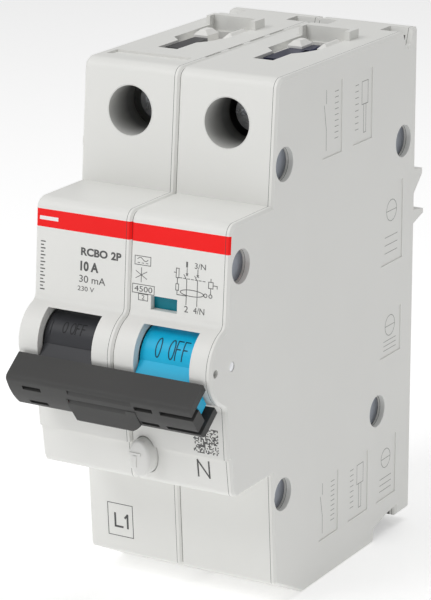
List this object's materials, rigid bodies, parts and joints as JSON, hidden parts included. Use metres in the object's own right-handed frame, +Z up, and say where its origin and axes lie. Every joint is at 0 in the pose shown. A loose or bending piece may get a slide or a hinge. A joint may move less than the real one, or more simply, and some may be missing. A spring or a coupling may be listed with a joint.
{
  "type": "residual current device",
  "caption": "Plug-in modular residual current breaker with overcurrent trip, tied handle, test button and cage terminals on top.",
  "frame": {"origin": "on the flat rear face, midway between the two modules and level with the middle of the 45 mm nose", "axes": "+X to the right seen from the front, +Y backwards into the socket rail, +Z up"},
  "size_m": [0.036, 0.0808, 0.0912],
  "materials": {
    "casing_white": "fine satin moulded surface",
    "guide_white": "satin",
    "rivet_steel": "dull zinc plated",
    "screw_zinc": "bright zinc plated",
    "cage_steel": "zinc plated stamping",
    "cage_dark": "dark passivated",
    "tinned_copper": "tin plated",
    "toggle_charcoal": "satin",
    "toggle_blue": "satin gloss",
    "bar_grey": "fine matt",
    "spring_steel": "bright wire",
    "carrier_black": "matt",
    "copper": "bright copper",
    "contact_silver": "satin silver",
    "board_brown": "fibre",
    "board_green": "solder resist",
    "button_grey": "satin",
    "flag_teal": "satin"
  },
  "bodies": {
    "casing": {"left_case": "casing_white", "left_cover": "casing_white", "right_case": "casing_white", "right_cover": "casing_white", "rivets": "rivet_steel", "terminal_bars": "tinned_copper", "left_wire_guide": "guide_white", "right_wire_guide": "guide_white", "left_wire_stop": "cage_steel", "right_wire_stop": "cage_dark", "toggle_pin": "screw_zinc", "toggle_springs": "spring_steel", "line_contact_bracket": "copper", "neutral_contact_bracket": "copper", "line_plug_contact": "tinned_copper", "neutral_plug_contact": "tinned_copper", "contact_pins": "screw_zinc", "fixed_contacts": "contact_silver", "contact_springs": "spring_steel", "trip_yoke": "cage_steel", "trip_bobbin": "carrier_black", "trip_coil": "copper", "trip_core": "cage_steel", "trip_pin": "screw_zinc", "bimetal_strip": "tinned_copper", "line_strap": "copper", "arc_plates": "cage_steel", "arc_cheeks": "board_brown", "arc_runner": "copper", "ring_core": "cage_dark", "ring_winding": "copper", "primary_conductors": "toggle_blue", "neutral_strap": "copper", "trip_relay": "carrier_black", "circuit_board": "board_green", "board_parts": "carrier_black", "test_spring": "spring_steel", "test_contact": "contact_silver", "test_resistor": "board_brown"},
    "handle": {"line_toggle": "toggle_charcoal", "neutral_toggle": "toggle_blue", "tie_bar": "bar_grey"},
    "line_rocker_link": {"line_link": "spring_steel"},
    "neutral_rocker_link": {"neutral_link": "spring_steel"},
    "line_contacts": {"line_contact_carrier": "carrier_black", "line_contact_arm": "copper", "line_moving_contact": "contact_silver"},
    "neutral_contacts": {"neutral_contact_carrier": "carrier_black", "neutral_contact_arm": "copper", "neutral_moving_contact": "contact_silver"},
    "overcurrent_lever": {"trip_lever": "guide_white"},
    "overcurrent_plunger": {"trip_plunger": "screw_zinc"},
    "residual_pin": {"relay_pin": "guide_white"},
    "button": {"test_button": "button_grey"},
    "flag": {"fault_flag": "flag_teal"},
    "left_screw": {"left_terminal_screw": "screw_zinc"},
    "left_cage": {"left_terminal_cage": "cage_steel"},
    "right_screw": {"right_terminal_screw": "screw_zinc"},
    "right_cage": {"right_terminal_cage": "cage_dark"},
    "latch": {"latch_slider": "button_grey"}
  },
  "joints": [
    {"name": "handle_turn", "type": "hinge", "parent": "casing", "child": "handle", "pos_m": [0, -0.0637, -0.0005], "axis": [-1, 0, 0], "range_deg": [0, 74]},
    {"name": "line_link_turn", "type": "hinge", "parent": "handle", "child": "line_rocker_link", "pos_m": [-0.009, -0.06106, 0.00149], "axis": [1, 0, 0], "range_deg": [0, 89.1]},
    {"name": "line_contact_turn", "type": "hinge", "parent": "casing", "child": "line_contacts", "pos_m": [-0.009, -0.043, -0.00083], "axis": [1, 0, 0], "range_deg": [0, 9.52]},
    {"name": "neutral_link_turn", "type": "hinge", "parent": "handle", "child": "neutral_rocker_link", "pos_m": [0.009, -0.06106, 0.00149], "axis": [1, 0, 0], "range_deg": [0, 89.1]},
    {"name": "neutral_contact_turn", "type": "hinge", "parent": "casing", "child": "neutral_contacts", "pos_m": [0.009, -0.043, -0.00083], "axis": [1, 0, 0], "range_deg": [0, 9.52]},
    {"name": "plunger_slide", "type": "slide", "parent": "casing", "child": "overcurrent_plunger", "axis": [0, -1, 0], "range_m": [0, 0.0016], "stiffness_N_per_m": 120, "springref_m": -0.0008},
    {"name": "lever_turn", "type": "hinge", "parent": "casing", "child": "overcurrent_lever", "pos_m": [-0.009, -0.0395, 0.0065], "axis": [-1, 0, 0], "range_deg": [0, 7.62]},
    {"name": "relay_pin_slide", "type": "slide", "parent": "casing", "child": "residual_pin", "axis": [0, -1, 0], "range_m": [0, 0.0015], "stiffness_N_per_m": 120, "springref_m": -0.0008},
    {"name": "button_push", "type": "slide", "parent": "casing", "child": "button", "axis": [0, 1, 0], "range_m": [0, 0.0016], "stiffness_N_per_m": 500, "springref_m": -0.001, "deforming": ["test_spring"]},
    {"name": "flag_rise", "type": "slide", "parent": "casing", "child": "flag", "axis": [0, 0, 1], "range_m": [0, 0.0036]},
    {"name": "latch_slide", "type": "slide", "parent": "casing", "child": "latch", "axis": [0, -1, 0], "range_m": [0, 0.003]},
    {"name": "left_screw_turn", "type": "hinge", "parent": "casing", "child": "left_screw", "pos_m": [-0.009, -0.04, 0.03464], "axis": [0, 1, 0], "range_deg": [0, 2250]},
    {"name": "left_cage_slide", "type": "slide", "parent": "casing", "child": "left_cage", "axis": [0, -1, 0], "range_m": [0, 0.005]},
    {"name": "right_screw_turn", "type": "hinge", "parent": "casing", "child": "right_screw", "pos_m": [0.009, -0.04, 0.03464], "axis": [0, 1, 0], "range_deg": [0, 2250]},
    {"name": "right_cage_slide", "type": "slide", "parent": "casing", "child": "right_cage", "axis": [0, -1, 0], "range_m": [0, 0.005]}
  ],
  "couplings": [
    {"joint": "line_link_turn", "follows": "handle_turn", "ratio": 1.2034},
    {"joint": "line_contact_turn", "follows": "handle_turn", "ratio": 0.1284},
    {"joint": "neutral_link_turn", "follows": "handle_turn", "ratio": 1.2034},
    {"joint": "neutral_contact_turn", "follows": "handle_turn", "ratio": 0.1284},
    {"joint": "lever_turn", "follows": "plunger_slide", "rad_per_m": 82.9},
    {"joint": "left_screw_turn", "follows": "left_cage_slide", "rad_per_m": 7854},
    {"joint": "right_screw_turn", "follows": "right_cage_slide", "rad_per_m": 7854}
  ]
}
